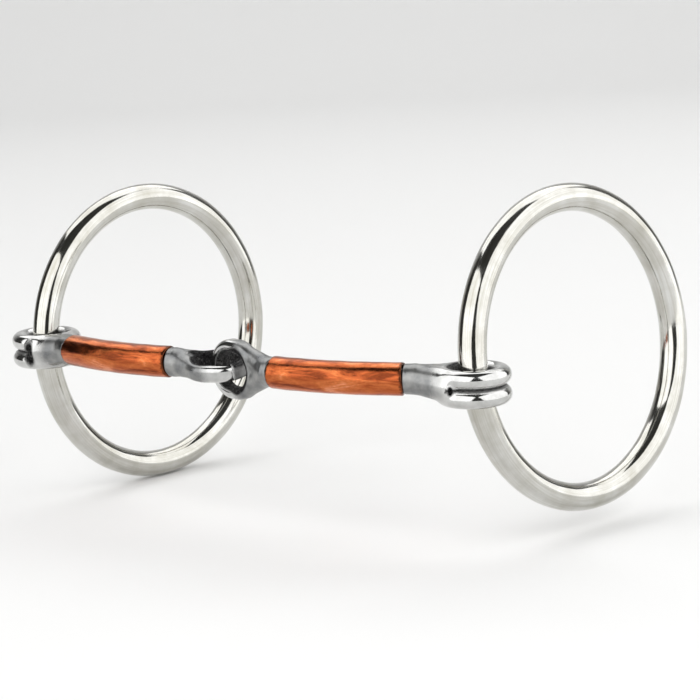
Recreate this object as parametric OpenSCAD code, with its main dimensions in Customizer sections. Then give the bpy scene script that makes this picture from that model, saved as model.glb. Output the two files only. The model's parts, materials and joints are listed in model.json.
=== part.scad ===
// Single-jointed loose-ring snaffle bit with copper-sleeved cannons.
// Millimetres, +Z up. The origin is where the two arms link, level with their centre lines.
// The ring planes are close to the YZ plane, and the mouthpiece bows towards -Y.

/* [Rings] */
// outside diameter of each bit ring
ring_od = 76; // [60:1:100]
// diameter of the ring wire
wire_d = 6.6; // [5:0.1:10]

/* [Mouthpiece arms] */
// straight distance from the link eye's centre to the ring eye's centre
arm_chord = 60.4; // [50:0.1:75]
// angle that an arm turns either side of its chord, in plan
arm_bow = 23.8; // [5:0.1:30]
// diameter of the steel necks
neck_d = 6.9; // [6:0.1:9]

/* [Copper sleeves] */
// outside diameter of the copper sleeve
sleeve_d = 7.6; // [6.5:0.1:12]
// diameter of the core rod and of the sleeve's bore
core_d = 5; // [3:0.1:6]
// how far the core rod goes into each end fitting
core_seat = 5; // [3:0.5:7]
// length of the copper sleeve, along the arm
sleeve_len = 33.2; // [25:0.1:35]
// where the sleeve starts, along the arm from the link eye's tip centre
sleeve_at = 13.5; // [12.5:0.1:14]

/* [Ring eyes] */
// radius from the eye's centre to the middle of a lobe
lobe_path_r = 6.5; // [6:0.1:10]
// diameter of each of the two lobes
lobe_d = 4.1; // [3:0.1:6]
// distance between the middles of the two lobes
lobe_pitch = 4.4; // [3:0.1:7]
// how far the ring eye's centre is set below the arm's centre line
eye_drop = 1.5; // [0:0.1:2]

/* [Link eyes] */
// radius of the hole in each link eye
link_hole_r = 4.2; // [3.5:0.1:6]
// thickness of the link eye, measured across its hole
link_t = 2.8; // [2:0.1:4]
// width of the link eye along its hole
link_w = 4; // [3:0.1:6]
// extra length of the link eye's oval hole, along the arm
link_stretch = 1.8; // [0.5:0.1:2.5]
// how far the link eye's centre is set below the arm's centre line
link_drop = 0.6; // [0:0.1:1]
// distance from the right eye's bar on to the left eye's tip centre
link_push = 0.8; // [0:0.1:1.5]
// roll of the left eye about its arm, from lying flat
link_l_roll = 9; // [0:1:15]

/* [Rest pose] */
// plan angle of the right arm's chord from +X
arm_r_yaw = 20; // [0:0.1:30]
// plan angle of the left arm's chord from -X
arm_l_yaw = 4.9; // [0:0.1:30]
// plan angle of each ring's plane from the YZ plane
ring_r_yaw = -0.7; // [-10:0.1:10]
ring_l_yaw = 0.7; // [-10:0.1:10]
// sideways lean of each ring, as far as its loose eye lets it
ring_r_lean = -6.4; // [-8:0.1:8]
ring_l_lean = -2.5; // [-8:0.1:8]
// how far each ring has slid round through its eye
ring_r_slide = 2.1; // [-10:0.1:10]
ring_l_slide = -4.6; // [-10:0.1:10]
// how far each ring is pulled out from the middle of its eye
ring_pull = 0.3; // [0:0.1:0.5]

/* [Hidden] */
steel = [0.72, 0.73, 0.74];
bright = [0.8, 0.81, 0.82];
copper = [0.74, 0.36, 0.18];
$fn = 96;
hull_fn = 32;
ring_path_r = (ring_od - wire_d) / 2;
arc_r = arm_chord / 2 / sin(arm_bow);
deg_per_mm = 180 / (PI * arc_r);
arc_len = 2 * arm_bow / deg_per_mm;
hole_r = lobe_path_r - lobe_d / 2;
lobe_z = lobe_pitch / 2;
link_path_r = link_hole_r + link_t / 2;
end_round = 0.5;
groove_floor_r = lobe_path_r + 1;
shoulder_r = 3.9;
shoulder_x = -5.5;
shoulder_y = 2.6;
root_d = neck_d + 0.2;
root_at = arc_len - 11;
sleeve_end = sleeve_at + sleeve_len;
link_root_at = 8.8;
cheek_r = 1.7;
cheek_angle = 62;

// ---- one arm, drawn from its link eye at the origin to its ring eye on +X ----

// Put children on the arm's centre line, with +X pointing on towards the ring eye.
module on_arm(s) {
  translate([arm_chord / 2, arc_r * cos(arm_bow), 0])
    rotate([0, 0, -arm_bow + s * deg_per_mm])
      translate([0, -arc_r, 0])
        children();
}

// Sweep a 2D section along the arm's centre line from s1 to s2.
module along_arm(s1, s2) {
  translate([arm_chord / 2, arc_r * cos(arm_bow), 0])
    rotate([0, 0, -90 - arm_bow + s1 * deg_per_mm])
      rotate_extrude(angle = (s2 - s1) * deg_per_mm, $fn = 360)
        translate([arc_r, 0])
          children();
}

module core() {
  along_arm(sleeve_at - core_seat, sleeve_end + core_seat)
    circle(d = core_d);
}

module sleeve() {
  difference() {
    union() {
      along_arm(sleeve_at, sleeve_end)
        circle(d = sleeve_d - 2 * end_round);
      along_arm(sleeve_at + end_round, sleeve_end - end_round)
        circle(d = sleeve_d);
    }
    core();
  }
}

// Put children at the ring eye's centre, just below the arm's centre line.
module at_ring_eye() {
  on_arm(arc_len)
    translate([0, 0, -eye_drop])
      children();
}

// Put children at the centre of the link eye's tip, with its hole along +Z turned about the arm.
module at_link_eye(turn) {
  on_arm(0)
    translate([0, 0, -link_drop])
      rotate([turn, 0, 0])
        children();
}

module lobe(z) {
  translate([0, 0, z])
    rotate_extrude()
      translate([lobe_path_r, 0])
        circle(d = lobe_d);
}

module groove_web() {
  rotate_extrude()
    translate([hole_r, -lobe_z])
      square([groove_floor_r - hole_r, lobe_pitch]);
}

// Solid root that widens from the neck to the two lobes.
module ring_eye_root() {
  difference() {
    union() {
      along_arm(sleeve_end, root_at)
        circle(d = neck_d);
      hull() {
        on_arm(root_at)
          sphere(d = root_d, $fn = hull_fn);
        at_ring_eye()
          for (side = [-1, 1])
            translate([shoulder_x, side * shoulder_y, 0])
              sphere(r = shoulder_r, $fn = hull_fn);
      }
    }
    at_ring_eye()
      cylinder(r = groove_floor_r - 0.5, h = 4 * lobe_d, center = true);
  }
}

module ring_eye() {
  difference() {
    union() {
      ring_eye_root();
      at_ring_eye() {
        lobe(lobe_z);
        lobe(-lobe_z);
        groove_web();
      }
    }
    core();
  }
}

module link_section() {
  straight = (link_w - link_t) / 2;
  for (y = [-straight, straight])
    translate([0, y])
      circle(d = link_t, $fn = 48);
  square([link_t, 2 * straight], center = true);
}

// Oval loop: half rings round the tip and the root, joined by straight sides.
module link_loop() {
  rotate([0, 0, 90])
    rotate_extrude(angle = 180)
      translate([link_path_r, 0])
        link_section();
  translate([link_stretch, 0, 0])
    rotate([0, 0, -90])
      rotate_extrude(angle = 180)
        translate([link_path_r, 0])
          link_section();
  for (side = [-1, 1])
    translate([0, side * link_path_r, 0])
      rotate([90, 0, 90])
        linear_extrude(link_stretch)
          link_section();
}

// The oval through a link eye, wider than its hole by gap.
module link_hole(gap) {
  for (x = [0, link_stretch])
    translate([x, 0, 0])
      cylinder(r = link_hole_r + gap, h = 4 * link_w, center = true);
  translate([link_stretch / 2, 0, 0])
    cube([link_stretch, 2 * (link_hole_r + gap), 4 * link_w], center = true);
}

// Root that runs from both sides of the loop to the neck.
module link_root(turn) {
  difference() {
    union() {
      along_arm(link_root_at, sleeve_at)
        circle(d = neck_d);
      hull() {
        on_arm(link_root_at)
          sphere(d = root_d, $fn = hull_fn);
        at_link_eye(turn)
          translate([link_stretch, 0, 0])
            for (side = [-1, 1])
              rotate([0, 0, side * cheek_angle])
                translate([link_path_r + link_t / 2 - cheek_r, 0, 0])
                  sphere(r = cheek_r, $fn = hull_fn);
      }
    }
    at_link_eye(turn)
      link_hole(0.4);
  }
}

module link_eye(turn) {
  difference() {
    union() {
      link_root(turn);
      at_link_eye(turn)
        link_loop();
    }
    core();
  }
}

// ---- placing the arms and rings in the rest pose ----

// Move the arm on by dist, straight out from its link eye's tip.
module moved_on(dist) {
  translate([dist * cos(arm_bow), -dist * sin(arm_bow), 0])
    children();
}

module right_arm() {
  rotate([0, 0, arm_r_yaw])
    moved_on(link_path_r)
      children();
}

module left_arm() {
  rotate([0, 0, arm_l_yaw])
    mirror([1, 0, 0])
      moved_on(-link_push)
        children();
}

// A ring through the origin, standing on the +Y side of it.
module ring(yaw, lean, slide) {
  rotate([0, 0, yaw])
    rotate([0, lean, 0])
      translate([0, ring_path_r * cos(slide), ring_path_r * sin(slide)])
        rotate([0, 90, 0])
          rotate_extrude($fn = 144)
            translate([ring_path_r, 0])
              circle(d = wire_d, $fn = 48);
}

module right_ring() {
  color(bright)
    right_arm()
      translate([arm_chord, 0, 0])
        rotate([0, 0, -arm_r_yaw])
          translate([ring_pull, 0, 0])
            ring(ring_r_yaw, ring_r_lean, ring_r_slide);
}

module left_ring() {
  color(bright)
    left_arm()
      translate([arm_chord, 0, 0])
        mirror([1, 0, 0])
          rotate([0, 0, -arm_l_yaw])
            translate([-ring_pull, 0, 0])
              ring(ring_l_yaw, ring_l_lean, ring_l_slide);
}

module right_ring_eye() {
  color(steel)
    right_arm()
      ring_eye();
}

module left_ring_eye() {
  color(steel)
    left_arm()
      ring_eye();
}

module right_link_eye() {
  color(steel)
    right_arm()
      link_eye(90);
}

module left_link_eye() {
  color(steel)
    left_arm()
      link_eye(link_l_roll);
}

module right_core_rod() {
  color(steel)
    right_arm()
      core();
}

module left_core_rod() {
  color(steel)
    left_arm()
      core();
}

module right_copper_sleeve() {
  color(copper)
    right_arm()
      sleeve();
}

module left_copper_sleeve() {
  color(copper)
    left_arm()
      sleeve();
}

right_ring();
left_ring();
right_ring_eye();
left_ring_eye();
right_link_eye();
left_link_eye();
right_core_rod();
left_core_rod();
right_copper_sleeve();
left_copper_sleeve();
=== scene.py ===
import json
import math

import bpy
import numpy as np
from mathutils import Matrix, Vector


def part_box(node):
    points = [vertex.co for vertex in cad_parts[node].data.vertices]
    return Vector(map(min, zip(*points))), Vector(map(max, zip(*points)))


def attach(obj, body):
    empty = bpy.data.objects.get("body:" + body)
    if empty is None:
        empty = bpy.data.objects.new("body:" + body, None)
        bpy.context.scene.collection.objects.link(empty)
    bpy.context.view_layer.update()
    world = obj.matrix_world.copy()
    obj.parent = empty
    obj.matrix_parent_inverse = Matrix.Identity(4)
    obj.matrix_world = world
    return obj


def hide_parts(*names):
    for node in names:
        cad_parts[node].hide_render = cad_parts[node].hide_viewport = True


MM = 0.001

# Sizes of the bit, in millimetres, as the CAD model has them.
RING_R = 34.7
WIRE_R = 3.3
RING_PULL = 0.3
ARM_CHORD = 60.4
ARM_BOW = math.radians(23.8)
ARC_R = ARM_CHORD / 2 / math.sin(ARM_BOW)
ARC_LEN = 2 * ARM_BOW * ARC_R
SLEEVE_AT = 13.5
SLEEVE_LEN = 33.2
SLEEVE_END = SLEEVE_AT + SLEEVE_LEN
SLEEVE_R = 3.8
NECK_R = 3.45
EYE_DROP = 1.5
LOBE_PATH_R = 6.5
LOBE_R = 2.05
LOBE_Z = 2.2
EYE_HOLE_R = LOBE_PATH_R - LOBE_R
LINK_DROP = 0.6
LINK_STRETCH = 1.8
LINK_TURN = {"right": math.radians(90), "left": math.radians(9)}
LINK_PATH_R = 5.6
LINK_HALF_T = 1.4
LINK_OUTER_R = LINK_PATH_R + LINK_HALF_T
LINK_STRAIGHT = 0.6
CHEEK_R = 1.7
CHEEK_ANGLE = math.radians(62)

# Sizes of the flares, grooves and pits, in millimetres. These follow the photograph, not the CAD model.
ROOT_START_R = 3.3
ROOT_AT = ARC_LEN - 13.0
SHOULDER_AT = (-5.5, 2.6, 0.45)
SHOULDER_R = 3.95
GROOVE_FLOOR_R = 7.0
GROOVE_END = math.radians(131)
PIT_PATH_R = 8.1
PIT_HALF_WIDTH = 1.15
PIT_HALF_HEIGHT = 2.1
PIT_SCALE = {"right": 0.48, "left": 1.1}
LINK_ROOT_AT = 11.6

# How far neighbouring shapes melt into each other, in millimetres.
FLARE_BLEND = 0.6
NECK_BLEND = 0.3
NECK_END_BLEND = 0.5
LOBE_BLEND = 0.25
WEB_BLEND = 0.35
ROOT_BLEND = 0.8
LINK_ROOT_BLEND = 0.5

# Which link eye gets painted shade and pitting over the far part of its loop, and how many degrees round its
# loop the polish ends.
LOOP_SHADE_SIDE = {"right": 0.0, "left": 1.0}
POLISH_END = 129.0

# Rest pose, in degrees: each arm's yaw, and each ring's yaw, lean and slide through its eye.
RIGHT_ARM_YAW = 20.0
LEFT_ARM_YAW = 4.9
RIGHT_RING_POSE = (-0.7, -6.4, 2.1)
LEFT_RING_POSE = (0.7, -2.5, -4.6)

# The camera, in metres and degrees, with its lens and sensor in millimetres.
CAMERA_AT = (0.43503, -0.37693, 0.11165)
CAMERA_AZIMUTH = 46.03
CAMERA_ELEVATION = 10.83
CAMERA_ROLL = -2.73
CAMERA_LENS = 128.57
SENSOR_WIDTH = 36

# How far the floor is below the lowest point of the rings, in metres.
FLOOR_GAP = 0.0002


# ---- distance fields, on arrays of points in millimetres ----


def smooth_union(a, b, reach):
    share = np.clip(0.5 + 0.5 * (b - a) / reach, 0, 1)
    return b + (a - b) * share - reach * share * (1 - share)


def smooth_cut(a, b, reach):
    return -smooth_union(-a, b, reach)


def torus(u, v, z, path_r, tube_r):
    return np.hypot(np.hypot(u, v) - path_r, z) - tube_r


def cone_capsule(u, v, z, start, end, start_r, end_r):
    """A rod with round ends whose radius changes from start to end."""
    start = np.array(start, float)
    way = np.array(end, float) - start
    along = ((u - start[0]) * way[0] + (v - start[1]) * way[1] + (z - start[2]) * way[2]) / way.dot(way)
    along = np.clip(along, 0, 1)
    du = u - start[0] - along * way[0]
    dv = v - start[1] - along * way[1]
    dz = z - start[2] - along * way[2]
    return np.sqrt(du**2 + dv**2 + dz**2) - (start_r + along * (end_r - start_r))


def arm_coordinates(p):
    """How far along the arm's bowed centre line each point is, and how far outside it in plan."""
    dx = p[..., 0] - ARM_CHORD / 2
    dy = p[..., 1] - ARC_R * math.cos(ARM_BOW)
    along = (np.arctan2(dx, -dy) + ARM_BOW) * ARC_R
    return along, np.hypot(dx, dy) - ARC_R


def arm_point(along, outward=0.0, height=0.0):
    turn = along / ARC_R - ARM_BOW
    reach = ARC_R + outward
    return np.stack(
        [
            ARM_CHORD / 2 + reach * np.sin(turn),
            ARC_R * math.cos(ARM_BOW) - reach * np.cos(turn),
            height + 0 * turn,
        ],
        -1,
    )


def neck_field(p, start, end):
    """A plain stretch of the arm from start to end, with soft ends."""
    along, out = arm_coordinates(p)
    tube = np.hypot(out, p[..., 2]) - NECK_R
    ends = np.maximum(start - along, along - end)
    return smooth_cut(tube, -ends, NECK_END_BLEND)


def eye_axes(p, at, turn, drop):
    """Coordinates about a point just below the arm, with the first axis along the arm there."""
    centre = arm_point(np.array(at))
    dx = p[..., 0] - centre[0]
    dy = p[..., 1] - centre[1]
    u = dx * math.cos(turn) + dy * math.sin(turn)
    v = dy * math.cos(turn) - dx * math.sin(turn)
    return u, v, p[..., 2] + drop


def ring_eye_axes(p):
    return eye_axes(p, ARC_LEN, ARM_BOW, EYE_DROP)


def link_axes(p, turn):
    """Coordinates about the centre of the link eye's tip, with the third axis along its hole."""
    u, v, z = eye_axes(p, 0.0, -ARM_BOW, LINK_DROP)
    return u, v * math.cos(turn) + z * math.sin(turn), z * math.cos(turn) - v * math.sin(turn)


def plain_point(point):
    return tuple(float(x) for x in point)


def groove_ends(u, v, z, scale):
    """Small pits where the groove runs out against the root, one on each side."""
    pits = []
    wide = PIT_HALF_WIDTH * scale
    tall = PIT_HALF_HEIGHT * scale
    for side in (-1, 1):
        lengthwise = (u - PIT_PATH_R * math.cos(GROOVE_END)) / wide
        sideways = (v - side * PIT_PATH_R * math.sin(GROOVE_END)) / wide
        pits.append(np.sqrt(lengthwise**2 + sideways**2 + (z / tall) ** 2) - 1)
    return np.minimum(*pits)


def ring_eye_field(p, pit_scale):
    """The forked eye that holds a ring: two round lobes over a groove, on a flared root."""
    u, v, z = ring_eye_axes(p)
    neck_at = plain_point(ring_eye_axes(arm_point(np.array(ROOT_AT))))
    r = np.hypot(u, v)
    flares = []
    for side in (-1, 1):
        shoulder = (SHOULDER_AT[0], side * SHOULDER_AT[1], SHOULDER_AT[2])
        flares.append(cone_capsule(u, v, z, neck_at, shoulder, ROOT_START_R, SHOULDER_R))
    neck = neck_field(p, SLEEVE_END, ROOT_AT + 0.5)
    root = smooth_union(neck, smooth_union(*flares, FLARE_BLEND), NECK_BLEND)
    root = smooth_cut(root, r - (LOBE_PATH_R + 0.5), 0.6)
    lobes = smooth_union(
        torus(u, v, z - LOBE_Z, LOBE_PATH_R, LOBE_R),
        torus(u, v, z + LOBE_Z, LOBE_PATH_R, LOBE_R),
        LOBE_BLEND,
    )
    web = np.maximum(np.maximum(EYE_HOLE_R - r, r - GROOVE_FLOOR_R), np.abs(z) - LOBE_Z)
    eye = smooth_union(smooth_union(lobes, web, WEB_BLEND), root, ROOT_BLEND)
    return smooth_cut(eye, groove_ends(u, v, z, pit_scale), 0.3)


def link_radius(u, v):
    """How far each point is from the line between the link eye's two end centres."""
    return np.hypot(u - np.clip(u, 0, LINK_STRETCH), v)


def link_eye_field(p, turn):
    """An oval link eye with soft edges, on a root that runs out from both of its cheeks."""
    u, v, z = link_axes(p, turn)
    r = link_radius(u, v)
    neck_at = plain_point(link_axes(arm_point(np.array(LINK_ROOT_AT)), turn))
    flares = []
    cheek_at = LINK_OUTER_R - CHEEK_R
    for side in (-1, 1):
        cheek_u = LINK_STRETCH + cheek_at * math.cos(CHEEK_ANGLE)
        cheek = (cheek_u, side * cheek_at * math.sin(CHEEK_ANGLE), 0)
        flares.append(cone_capsule(u, v, z, neck_at, cheek, ROOT_START_R, CHEEK_R))
    neck = neck_field(p, LINK_ROOT_AT, SLEEVE_AT)
    root = smooth_union(neck, smooth_union(*flares, FLARE_BLEND), NECK_BLEND)
    root = smooth_cut(root, r - (LINK_PATH_R - LINK_HALF_T + 0.4), 0.4)
    loop = np.hypot(r - LINK_PATH_R, np.maximum(np.abs(z) - LINK_STRAIGHT, 0)) - LINK_HALF_T
    return smooth_union(loop, root, LINK_ROOT_BLEND)


# ---- turning a field into a mesh ----


def slope(field, p, step=0.02):
    parts = []
    for axis in range(3):
        shift = np.zeros(3)
        shift[axis] = step
        parts.append((field(p + shift) - field(p - shift)) / (2 * step))
    return np.stack(parts, -1)


def settle(field, p, rounds=4):
    """Move points onto the field's surface."""
    for _ in range(rounds):
        g = slope(field, p)
        p = p - g * (field(p) / np.maximum((g**2).sum(-1), 1e-3))[..., None]
    return p


def crossings(values, axis):
    low = np.take(values, range(values.shape[axis] - 1), axis)
    high = np.take(values, range(1, values.shape[axis]), axis)
    return low, high, (low < 0) != (high < 0)


def net_points(grid, values, step):
    """The mean of the surface's crossings on each cell's edges, and which cells have any."""
    cells = tuple(n - 1 for n in values.shape)
    total = np.zeros(cells + (3,))
    count = np.zeros(cells)
    for axis in range(3):
        below, above, cut = crossings(values, axis)
        share = np.where(cut, below / np.where(cut, below - above, 1), 0)
        point = np.take(grid, range(values.shape[axis] - 1), axis).copy()
        point[..., axis] += share * step
        first, second = [i for i in range(3) if i != axis]
        for a in (0, 1):
            for b in (0, 1):
                part = [slice(0, n) for n in cells]
                part[first] = slice(a, a + cells[first])
                part[second] = slice(b, b + cells[second])
                hit = cut[tuple(part)]
                total += np.where(hit[..., None], point[tuple(part)], 0)
                count += hit
    used = count > 0
    return total[used] / count[used][:, None], used


def net_faces(values, used):
    """A quad, facing outwards, round each grid edge that the surface cuts."""
    cells = used.shape
    number = np.full(cells, -1)
    number[used] = np.arange(used.sum())
    quads = []
    for axis in range(3):
        below, _, cut = crossings(values, axis)
        first, second = [i for i in range(3) if i != axis]
        at = np.argwhere(cut)
        at = at[(at[:, first] > 0) & (at[:, second] > 0)]
        at = at[(at[:, first] < cells[first]) & (at[:, second] < cells[second])]
        corners = []
        for a, b in ((1, 1), (0, 1), (0, 0), (1, 0)):
            cell = at.copy()
            cell[:, first] -= a
            cell[:, second] -= b
            corners.append(number[tuple(cell.T)])
        quad = np.stack(corners, -1)
        inward = below[tuple(at.T)] < 0
        flip = inward != (axis == 1)
        quads.append(np.where(flip[:, None], quad, quad[:, ::-1]))
    return np.concatenate(quads)


def surface_net(field, low, high, step):
    """A quad mesh of the field's zero surface inside the box: one point for each cell that it cuts."""
    lines = [np.arange(low[i], high[i] + step, step) for i in range(3)]
    grid = np.stack(np.meshgrid(*lines, indexing="ij"), -1)
    values = field(grid)
    points, used = net_points(grid, values, step)
    return settle(field, points), net_faces(values, used)


# ---- making and placing the pieces ----


def make_piece(name, points, faces, placed, material, body, node, marks):
    """A smooth piece from points in millimetres, put in place by a matrix, that stands for a CAD node."""
    mesh = bpy.data.meshes.new(name)
    mesh.from_pydata((points * MM).tolist(), [], faces.tolist())
    for mark, values in marks.items():
        kind = "FLOAT_VECTOR" if values.ndim == 2 else "FLOAT"
        layer = mesh.attributes.new(mark, kind, "POINT")
        field = "vector" if values.ndim == 2 else "value"
        layer.data.foreach_set(field, values.astype(np.float32).ravel())
    mesh.transform(placed)
    if placed.determinant() < 0:
        mesh.flip_normals()
    mesh.shade_smooth()
    mesh.materials.append(material)
    piece = bpy.data.objects.new(name, mesh)
    bpy.context.scene.collection.objects.link(piece)
    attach(piece, body)
    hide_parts(node)


def tube_faces(rows, columns, closed):
    """Quads of a grid of rows by columns that is joined round its columns, and round its rows if closed."""
    row = np.arange(rows if closed else rows - 1)[:, None]
    column = np.arange(columns)[None, :]
    next_row = (row + 1) % rows
    next_column = (column + 1) % columns
    corners = [
        row * columns + column,
        next_row * columns + column,
        next_row * columns + next_column,
        row * columns + next_column,
    ]
    return np.stack([c.ravel() for c in corners], -1)


def joint_place(name):
    joint = next(j for j in frame["joints"] if j["name"] == name)
    return Vector(joint["pos_m"])


def arm_matrix(ring_joint, yaw, mirrored):
    """Takes an arm drawn from its link eye at the origin to its place, with its ring eye at the joint."""
    across = Matrix.Scale(-1, 4, (1, 0, 0)) if mirrored else Matrix.Identity(4)
    turn = Matrix.Rotation(math.radians(yaw), 4, "Z")
    back = Matrix.Translation((-ARM_CHORD * MM, 0, 0))
    return Matrix.Translation(joint_place(ring_joint)) @ turn @ across @ back


def ring_matrix(ring_joint, pose):
    yaw, lean, slide = (math.radians(a) for a in pose)
    turn = Matrix.Rotation(yaw, 4, "Z") @ Matrix.Rotation(lean, 4, "Y")
    reach = RING_R * MM
    middle = Matrix.Translation((0, reach * math.cos(slide), reach * math.sin(slide)))
    eye = joint_place(ring_joint)
    pulled = Matrix.Translation((math.copysign(RING_PULL * MM, eye.x), 0, 0))
    return Matrix.Translation(eye) @ pulled @ turn @ middle


def make_ring(side, pose, material):
    """A ring of round wire in the YZ plane: trimmed a little, and slightly wavy from hand polishing."""
    rows, columns = 384, 64
    about = np.linspace(0, 2 * math.pi, rows, endpoint=False)[:, None]
    round_wire = np.linspace(0, 2 * math.pi, columns, endpoint=False)[None, :]
    broad = 0.018 * np.sin(11 * about + 1.3)
    fine = 0.012 * np.sin(23 * about + 2 * round_wire)
    trim = 0.02
    wire = WIRE_R - trim + (broad + fine) * np.cos(round_wire + 3 * about)
    reach = RING_R + wire * np.cos(round_wire)
    points = np.stack([wire * np.sin(round_wire), reach * np.cos(about), reach * np.sin(about)], -1)
    round_mm = (WIRE_R * np.cos(round_wire) + 0 * about, WIRE_R * np.sin(round_wire) + 0 * about)
    marks = np.stack([RING_R * (about + 0 * round_wire), *round_mm], -1)
    make_piece(
        f"{side}_polished_ring",
        points.reshape(-1, 3),
        tube_faces(rows, columns, True)[:, ::-1],
        ring_matrix(f"{side}_ring_swing", pose),
        material,
        f"{side}_ring",
        f"{side}_ring",
        {"wire_mm": marks.reshape(-1, 3)},
    )


def make_sleeve(side, placed, material):
    """The copper tube: soft rolled ends, a slight waver in its ends and faint dents along it."""
    columns = 96
    corner = 0.5
    tuck = 0.1
    dent = 0.03
    turn = np.linspace(0, math.pi / 2, 7)
    curve = [(corner * (1 - math.sin(a)), SLEEVE_R - corner * (1 - math.cos(a))) for a in turn]
    start = [(SLEEVE_AT + inset, r) for inset, r in curve[::-1]]
    end = [(SLEEVE_END - inset, r) for inset, r in curve]
    middle = [(s, SLEEVE_R) for s in np.linspace(SLEEVE_AT + corner, SLEEVE_END - corner, 120)[1:-1]]
    lip = NECK_R - 0.7
    profile = [(SLEEVE_AT + tuck, lip)] + start + middle + end + [(SLEEVE_END - tuck, lip)]
    along = np.array([s for s, _ in profile])[:, None]
    radius = np.array([r for _, r in profile])[:, None]
    about = np.linspace(0, 2 * math.pi, columns, endpoint=False)[None, :]
    from_end = np.minimum(along - SLEEVE_AT, SLEEVE_END - along) + 0 * about
    waver = np.clip(1 - from_end / 3, 0, 1) * 0.18 * np.sin(2 * about + along * 0.05)
    dents = dent * np.sin(along * 0.9 + 2 * np.sin(about)) * np.sin(about * 2 + along * 0.23)
    radius = radius + np.where(radius > SLEEVE_R - 0.2, dents - dent, 0)
    points = arm_point(along + waver, radius * np.cos(about), radius * np.sin(about))
    around = (SLEEVE_R * np.cos(about) + 0 * along, SLEEVE_R * np.sin(about) + 0 * along)
    marks = np.stack([along + 0 * about, *around], -1)
    make_piece(
        f"{side}_copper_tube",
        points.reshape(-1, 3),
        tube_faces(len(profile), columns, False),
        placed,
        material,
        f"{side}_arm",
        f"{side}_copper_sleeve",
        {"arm_mm": marks.reshape(-1, 3), "from_end_mm": from_end.ravel()},
    )


def fade_in(distance, width):
    """0 up to where the distance is zero, rising to 1 over the width."""
    return np.clip(distance / width, 0, 1)


def ring_eye_marks(p, pit_scale):
    """Where a ring eye gets painted shade and pitting, in its groove, pits and hole, and where it is
    polished, on its lobes.
    """
    u, v, z = ring_eye_axes(p)
    r = np.hypot(u, v)
    groove = np.clip(1.2 - np.abs(z) / 0.6, 0, 1) * (r > LOBE_PATH_R) * (u > -6.5)
    rim = EYE_HOLE_R + 0.7 + 1.3 * fade_in(-u, 3)
    hole = fade_in(rim - r, 0.6)
    pit = np.clip(1.3 - 2.2 * groove_ends(u, v, z, pit_scale), 0, 1) * (r > LOBE_PATH_R)
    polish = fade_in(u + 10.0, 3.0)
    return {"shade_and_pitting": np.maximum(np.maximum(groove, hole), pit), "polish": polish}


def link_eye_marks(p, turn, loop_shade_side):
    """Where a link eye gets painted shade and pitting, in its hole and over the unpolished far part of its
    loop, and where its loop is polished.
    """
    u, v, _ = link_axes(p, turn)
    r = link_radius(u, v)
    rim = LINK_PATH_R - 0.5 + 0.8 * fade_in(u, 3)
    hole = fade_in(rim - r, 0.4)
    on_loop = fade_in(LINK_OUTER_R + 0.3 - r, 0.6)
    about = np.degrees(np.arctan2(v, u - np.clip(u, 0, LINK_STRETCH)))
    past_polish = fade_in(-about - POLISH_END, 6)
    far_side = fade_in(v - 0.3, 1.2)
    # Painted shade, with pitting, over the far part of the left loop.
    loop_shade_and_pitting = loop_shade_side * on_loop * np.maximum(past_polish, far_side)
    polish = fade_in(LINK_OUTER_R + 0.6 - r, 0.8) * fade_in(3.5 - u, 2.5)
    return {"shade_and_pitting": np.maximum(hole, loop_shade_and_pitting), "polish": polish}


def make_ring_eye(side, placed, material):
    pit_scale = PIT_SCALE[side]
    centre = arm_point(np.array(ARC_LEN))
    reach = LOBE_PATH_R + LOBE_R + 0.8
    back = ARC_LEN - SLEEVE_END + 1
    low = (centre[0] - back, centre[1] - reach - 1, -EYE_DROP - LOBE_Z - LOBE_R - 0.5)
    high = (centre[0] + reach, centre[1] + reach, NECK_R + 0.5)
    step = 0.2
    points, faces = surface_net(lambda p: ring_eye_field(p, pit_scale), low, high, step)
    make_piece(
        f"{side}_forked_eye",
        points,
        faces,
        placed,
        material,
        f"{side}_arm",
        f"{side}_ring_eye",
        ring_eye_marks(points, pit_scale),
    )


def make_link_eye(side, placed, material):
    turn = LINK_TURN[side]
    reach = LINK_OUTER_R + 0.6
    low = (-reach, -reach - 1.5, -reach - LINK_DROP)
    high = (SLEEVE_AT + 2, reach, reach)
    step = 0.17
    points, faces = surface_net(lambda p: link_eye_field(p, turn), low, high, step)
    make_piece(
        f"{side}_link_loop",
        points,
        faces,
        placed,
        material,
        f"{side}_arm",
        f"{side}_link_eye",
        link_eye_marks(points, turn, LOOP_SHADE_SIDE[side]),
    )


# ---- materials ----


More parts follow.
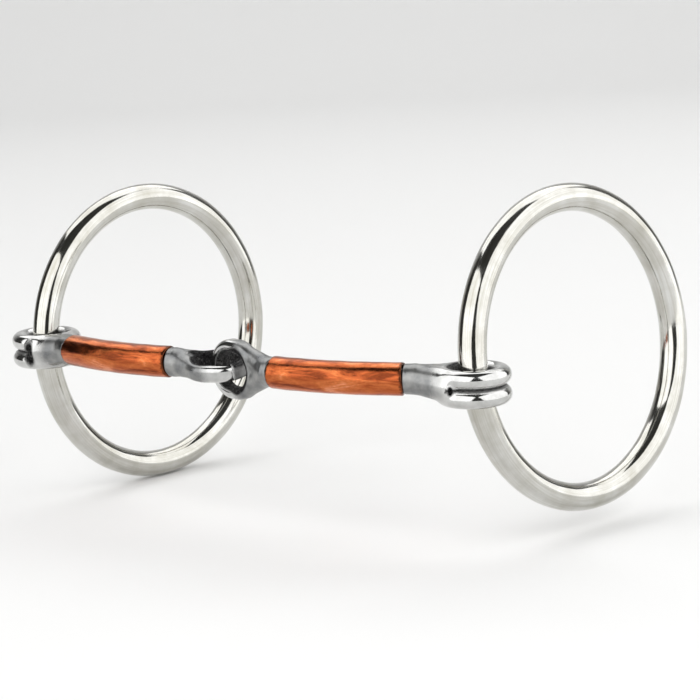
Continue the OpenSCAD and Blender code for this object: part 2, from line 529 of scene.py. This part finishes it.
class Nodes:
    """A short way to write a material's nodes."""

    def __init__(self, name):
        self.material = bpy.data.materials.new(name)
        self.material.use_nodes = True
        self.tree = self.material.node_tree
        self.shader = self.tree.nodes["Principled BSDF"]

    def add(self, kind, **settings):
        node = self.tree.nodes.new(kind)
        for key, value in settings.items():
            setattr(node, key, value)
        return node

    def link(self, out, into):
        self.tree.links.new(out, into)

    def object_point(self):
        return self.add("ShaderNodeTexCoord").outputs["Object"]

    def mark(self, name, output="Fac"):
        return self.add("ShaderNodeAttribute", attribute_name=name).outputs[output]

    def stretched(self, point, scale):
        node = self.add("ShaderNodeMapping")
        node.inputs["Scale"].default_value = scale
        self.link(point, node.inputs["Vector"])
        return node.outputs["Vector"]

    def noise(self, point, scale, detail, rough, warp=0.0):
        node = self.add("ShaderNodeTexNoise")
        node.inputs["Scale"].default_value = scale
        node.inputs["Detail"].default_value = detail
        node.inputs["Roughness"].default_value = rough
        node.inputs["Distortion"].default_value = warp
        self.link(point, node.inputs["Vector"])
        return node.outputs["Fac"]

    def ramp(self, value, *stops):
        node = self.add("ShaderNodeValToRGB")
        for at, _ in stops[2:]:
            node.color_ramp.elements.new(at)
        for element, (at, colour) in zip(node.color_ramp.elements, stops):
            element.position = at
            element.color = (*colour, 1)
        self.link(value, node.inputs["Fac"])
        return node.outputs["Color"]

    def span(self, value, low, high, start=0.3, end=0.7):
        node = self.add("ShaderNodeMapRange")
        node.inputs["From Min"].default_value = start
        node.inputs["From Max"].default_value = end
        node.inputs["To Min"].default_value = low
        node.inputs["To Max"].default_value = high
        self.link(value, node.inputs["Value"])
        return node.outputs["Result"]

    def maths(self, operation, a, b):
        node = self.add("ShaderNodeMath", operation=operation)
        for socket, value in zip(node.inputs, (a, b)):
            if isinstance(value, (int, float)):
                socket.default_value = value
            else:
                self.link(value, socket)
        return node.outputs["Value"]

    def mix(self, share, a, b):
        """A colour between a and b. The node's inputs 0, 6 and 7 are its share and its two colours."""
        node = self.add("ShaderNodeMix", data_type="RGBA")
        for socket, value in zip((node.inputs[0], node.inputs[6], node.inputs[7]), (share, a, b)):
            if isinstance(value, tuple):
                socket.default_value = (*value, 1)
            else:
                self.link(value, socket)
        return node.outputs[2]

    def bump(self, height, depth, strength, before=None):
        node = self.add("ShaderNodeBump")
        node.inputs["Distance"].default_value = depth
        node.inputs["Strength"].default_value = strength
        self.link(height, node.inputs["Height"])
        if before is not None:
            self.link(before, node.inputs["Normal"])
        return node.outputs["Normal"]

    def finish(self, colour, roughness, normal):
        self.link(colour, self.shader.inputs["Base Color"])
        self.link(roughness, self.shader.inputs["Roughness"])
        self.link(normal, self.shader.inputs["Normal"])
        self.shader.inputs["Metallic"].default_value = 1.0
        return self.material


def polished_steel():
    """Bright polished wire with faint lengthwise polishing lines and dull smudges."""
    n = Nodes("polished_ring_steel")
    wire = n.mark("wire_mm", "Vector")
    lines = n.noise(n.stretched(wire, (0.02, 1.0, 1.0)), 2.6, 6.0, 0.65)
    smudge = n.noise(n.object_point(), 130.0, 3.0, 0.6)
    shade = n.maths("MULTIPLY", lines, smudge)
    colour = n.ramp(shade, (0.1, (0.42, 0.405, 0.355)), (0.42, (0.68, 0.68, 0.66)))
    roughness = n.maths("ADD", n.span(lines, 0.03, 0.10), n.span(smudge, 0.0, 0.07))
    normal = n.bump(lines, 0.00002, 0.35)
    return n.finish(colour, roughness, normal)


def cast_steel():
    """Cast steel: polished lobes and loops, satin roots with fine grain, and rough hollows painted near
    black as shade.
    """
    n = Nodes("cast_steel")
    at = n.object_point()
    grain = n.noise(at, 2400.0, 5.0, 0.7)
    cloud = n.noise(at, 330.0, 4.0, 0.6)
    polish = n.mark("polish")
    dull = n.maths("SUBTRACT", 1.0, polish)
    # Painted shade: the marked hollows turn near black, and become rougher and pitted.
    shade_and_pitting = n.maths("MULTIPLY", n.mark("shade_and_pitting"), n.span(grain, 0.80, 1.0, 0.35, 0.6))
    satin = n.ramp(cloud, (0.3, (0.17, 0.175, 0.18)), (0.7, (0.33, 0.33, 0.32)))
    bright = n.ramp(cloud, (0.3, (0.48, 0.48, 0.47)), (0.7, (0.66, 0.66, 0.65)))
    rough = n.noise(at, 900.0, 4.0, 0.75)
    pitted_shade_colour = n.ramp(rough, (0.56, (0.007, 0.006, 0.007)), (0.70, (0.20, 0.20, 0.19)))
    colour = n.mix(shade_and_pitting, n.mix(polish, satin, bright), pitted_shade_colour)
    roughness = n.maths("ADD", n.span(cloud, 0.07, 0.15), n.maths("MULTIPLY", dull, 0.20))
    roughness = n.maths("ADD", roughness, n.maths("MULTIPLY", shade_and_pitting, 0.45))
    fine = n.bump(n.maths("MULTIPLY", grain, n.maths("ADD", dull, 0.15)), 0.00005, 0.5)
    normal = n.bump(n.maths("MULTIPLY", rough, shade_and_pitting), 0.0007, 1.0, fine)
    return n.finish(colour, roughness, normal)


def rod_steel():
    """Plain drawn rod, inside the copper."""
    n = Nodes("rod_steel")
    at = n.object_point()
    grain = n.noise(at, 1500.0, 4.0, 0.6)
    colour = n.ramp(grain, (0.3, (0.33, 0.33, 0.33)), (0.7, (0.46, 0.46, 0.45)))
    return n.finish(colour, n.span(grain, 0.32, 0.48), n.bump(grain, 0.00003, 0.4))


def copper():
    """Burnished copper with brown tarnish, fine draw lines, faint dimples, and painted shade darkening its
    ends.
    """
    n = Nodes("copper")
    arm = n.mark("arm_mm", "Vector")
    streak = n.noise(n.stretched(arm, (0.10, 0.45, 0.45)), 1.1, 5.0, 0.62, 0.8)
    lines = n.noise(n.stretched(arm, (0.05, 1.0, 1.0)), 5.0, 6.0, 0.7)
    mottle = n.noise(arm, 1.5, 5.0, 0.7)
    colour = n.ramp(
        streak,
        (0.34, (0.17, 0.036, 0.013)),
        (0.44, (0.42, 0.095, 0.030)),
        (0.58, (0.62, 0.175, 0.056)),
        (0.72, (0.84, 0.34, 0.18)),
    )
    colour = n.mix(n.span(mottle, 0.0, 0.55, 0.48, 0.75), colour, (0.34, 0.085, 0.022))
    colour = n.mix(n.span(lines, 0.0, 0.35, 0.5, 0.75), colour, (0.20, 0.045, 0.018))
    # Painted shade: the tube darkens towards its ends, where it meets the steel.
    end_shade = n.maths("ADD", n.mark("from_end_mm"), n.span(mottle, -0.5, 0.5))
    colour = n.mix(n.span(end_shade, 0.85, 0.0, 0.25, 0.8), colour, (0.055, 0.022, 0.012))
    roughness = n.maths("ADD", n.span(lines, 0.09, 0.16), n.span(mottle, 0.0, 0.13))
    normal = n.bump(lines, 0.00003, 0.4)
    normal = n.bump(mottle, 0.00012, 0.35, normal)
    return n.finish(colour, roughness, normal)


# ---- the stage ----


def plain(name, colour, roughness):
    n = Nodes(name)
    n.shader.inputs["Base Color"].default_value = (*colour, 1)
    n.shader.inputs["Roughness"].default_value = roughness
    return n.material


def make_floor(level):
    """A pale floor that curves up to a pale wall, well behind the bit."""
    ahead = Vector((-math.sin(math.radians(CAMERA_AZIMUTH)), math.cos(math.radians(CAMERA_AZIMUTH)), 0))
    side = Vector((ahead.y, -ahead.x, 0))
    front = -1.6
    wall = 1.1
    bend = 0.5
    wall_top = 2.2
    half_width = 2.2
    profile = [(front, 0.0)]
    for a in np.linspace(0, math.pi / 2, 25):
        profile.append((wall + bend * math.sin(a), bend * (1 - math.cos(a))))
    profile.append((wall + bend, wall_top))
    points = []
    for forward, height in profile:
        for across in (-half_width, half_width):
            points.append(ahead * forward + side * across + Vector((0, 0, level + height)))
    faces = [(2 * i, 2 * i + 1, 2 * i + 3, 2 * i + 2) for i in range(len(profile) - 1)]
    mesh = bpy.data.meshes.new("floor")
    mesh.from_pydata(points, [], faces)
    mesh.shade_smooth()
    mesh.materials.append(plain("pale_floor", (0.90, 0.90, 0.895), 0.8))
    floor = bpy.data.objects.new("floor", mesh)
    bpy.context.scene.collection.objects.link(floor)


def aim(thing, target):
    thing.rotation_euler = (Vector(target) - thing.location).to_track_quat("-Z", "Y").to_euler()


def softbox(name, turn, elevation, distance, width, height, brightness):
    """A soft light that faces the bit, turn degrees round to the camera's right, with sizes in metres."""
    bearing = math.radians(CAMERA_AZIMUTH + turn - 90)
    rise = math.radians(elevation)
    lamp = bpy.data.lights.new(name, "AREA")
    lamp.shape = "RECTANGLE"
    lamp.size = width
    lamp.size_y = height
    lamp.energy = brightness * math.pi * width * height
    lamp.spread = math.pi
    light = bpy.data.objects.new(name, lamp)
    bpy.context.scene.collection.objects.link(light)
    flat = distance * math.cos(rise)
    light.location = (flat * math.cos(bearing), flat * math.sin(bearing), distance * math.sin(rise))
    aim(light, (0, 0, 0))


def make_lights():
    softbox("left_softbox", turn=-48, elevation=20, distance=0.95, width=1.6, height=1.5, brightness=1.8)
    softbox("right_softbox", turn=70, elevation=20, distance=0.95, width=1.9, height=1.5, brightness=1.7)
    softbox("back_softbox", turn=180, elevation=58, distance=1.5, width=2.2, height=1.2, brightness=1.7)
    world = bpy.data.worlds.new("studio")
    world.use_nodes = True
    world.node_tree.nodes["Background"].inputs["Color"].default_value = (0.05, 0.05, 0.048, 1)
    bpy.context.scene.world = world


def make_camera():
    """The photograph's camera, with its slight roll."""
    turn = math.radians(CAMERA_AZIMUTH)
    tilt = math.radians(CAMERA_ELEVATION)
    roll = math.radians(CAMERA_ROLL)
    forward = Vector((-math.sin(turn) * math.cos(tilt), math.cos(turn) * math.cos(tilt), -math.sin(tilt)))
    level = Vector((math.cos(turn), math.sin(turn), 0))
    upright = level.cross(forward)
    right = level * math.cos(roll) + upright * math.sin(roll)
    up = upright * math.cos(roll) - level * math.sin(roll)
    data = bpy.data.cameras.new("camera")
    data.lens = CAMERA_LENS
    data.sensor_width = SENSOR_WIDTH
    camera = bpy.data.objects.new("camera", data)
    bpy.context.scene.collection.objects.link(camera)
    facing = Matrix((right, up, -forward)).transposed().to_4x4()
    camera.matrix_world = Matrix.Translation(CAMERA_AT) @ facing
    bpy.context.scene.camera = camera


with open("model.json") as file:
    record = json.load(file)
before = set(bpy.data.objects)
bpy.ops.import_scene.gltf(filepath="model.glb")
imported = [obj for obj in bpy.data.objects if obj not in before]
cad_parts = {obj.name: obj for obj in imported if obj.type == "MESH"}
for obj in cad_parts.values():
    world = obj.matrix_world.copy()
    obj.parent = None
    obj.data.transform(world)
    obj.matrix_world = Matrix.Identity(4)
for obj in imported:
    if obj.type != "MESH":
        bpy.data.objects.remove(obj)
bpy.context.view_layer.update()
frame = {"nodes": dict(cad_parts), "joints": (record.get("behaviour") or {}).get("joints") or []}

make_camera()
make_lights()
bpy.context.scene.view_settings.view_transform = "Standard"

steel = cast_steel()
ring_steel = polished_steel()
tube_copper = copper()
inner_rod = rod_steel()

right_arm = arm_matrix("right_ring_swing", RIGHT_ARM_YAW, False)
left_arm = arm_matrix("left_ring_swing", LEFT_ARM_YAW, True)

make_ring("right", RIGHT_RING_POSE, ring_steel)
make_ring("left", LEFT_RING_POSE, ring_steel)
make_ring_eye("right", right_arm, steel)
make_ring_eye("left", left_arm, steel)
make_link_eye("right", right_arm, steel)
make_link_eye("left", left_arm, steel)
make_sleeve("right", right_arm, tube_copper)
make_sleeve("left", left_arm, tube_copper)

for rod in ("right_core_rod", "left_core_rod"):
    frame["nodes"][rod].data.materials.clear()
    frame["nodes"][rod].data.materials.append(inner_rod)

lowest = min(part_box(ring)[0].z for ring in ("right_ring", "left_ring"))
make_floor(lowest - FLOOR_GAP)
